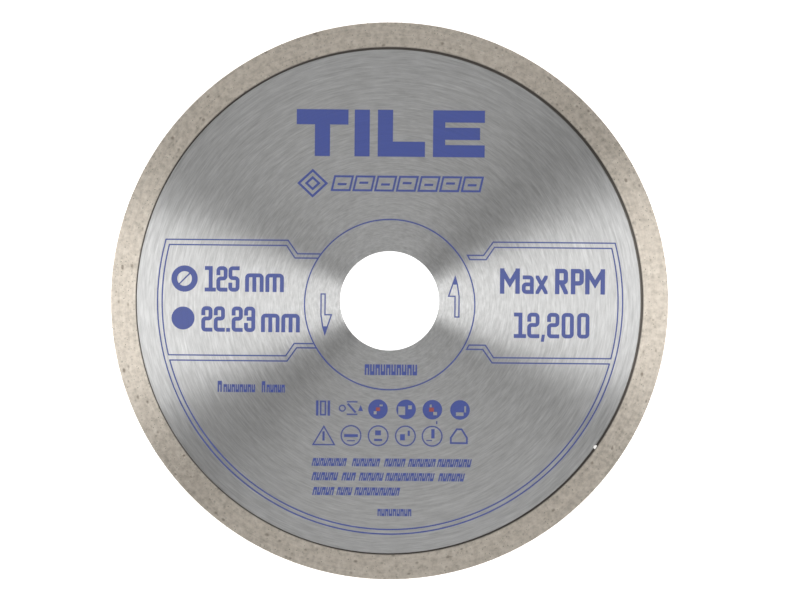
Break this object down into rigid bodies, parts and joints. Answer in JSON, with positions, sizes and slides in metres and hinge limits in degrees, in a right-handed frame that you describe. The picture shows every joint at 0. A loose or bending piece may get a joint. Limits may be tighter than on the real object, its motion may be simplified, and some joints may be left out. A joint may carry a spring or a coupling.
{
  "type": "diamond blade",
  "caption": "Flat continuous-rim diamond blade for cutting ceramic tile: a thin steel disc with a round bore, a sintered diamond ring on its edge and a printed front face.",
  "frame": {"origin": "centre of the bore at the steel disc's mid thickness", "axes": "+Z along the spin axis out of the printed front face, +Y towards the top of the print, +X to the right of the print"},
  "size_m": [0.125, 0.125, 0.002],
  "materials": {
    "ground_steel": "ground in circles round the bore, bright, fine grain",
    "sintered_bond": "dressed sintered bronze powder, matt beige grey with open pores",
    "diamond": "small yellow grey synthetic diamond crystals, ground level with the ring",
    "blue_ink": "thin screen-printed blue ink",
    "red_ink": "thin screen-printed red ink"
  },
  "bodies": {
    "root": {"steel_core": "ground_steel", "diamond_rim": "sintered_bond", "diamond_grit_front": "diamond", "diamond_grit_back": "diamond", "diamond_grit_edge": "diamond", "diamond_grit_buried": "diamond", "print_bore_ring": "blue_ink", "print_emblem": "blue_ink", "print_frame_lower_line": "blue_ink", "print_frame_outer_line": "blue_ink", "print_heading": "blue_ink", "print_left_panel_line": "blue_ink", "print_line_symbols": "blue_ink", "print_note_lines": "blue_ink", "print_red_marks": "red_ink", "print_right_panel_line": "blue_ink", "print_rotation_arrows": "blue_ink", "print_size_data": "blue_ink", "print_small_codes": "blue_ink", "print_solid_symbols": "blue_ink", "print_speed_data": "blue_ink"}
  },
  "joints": []
}
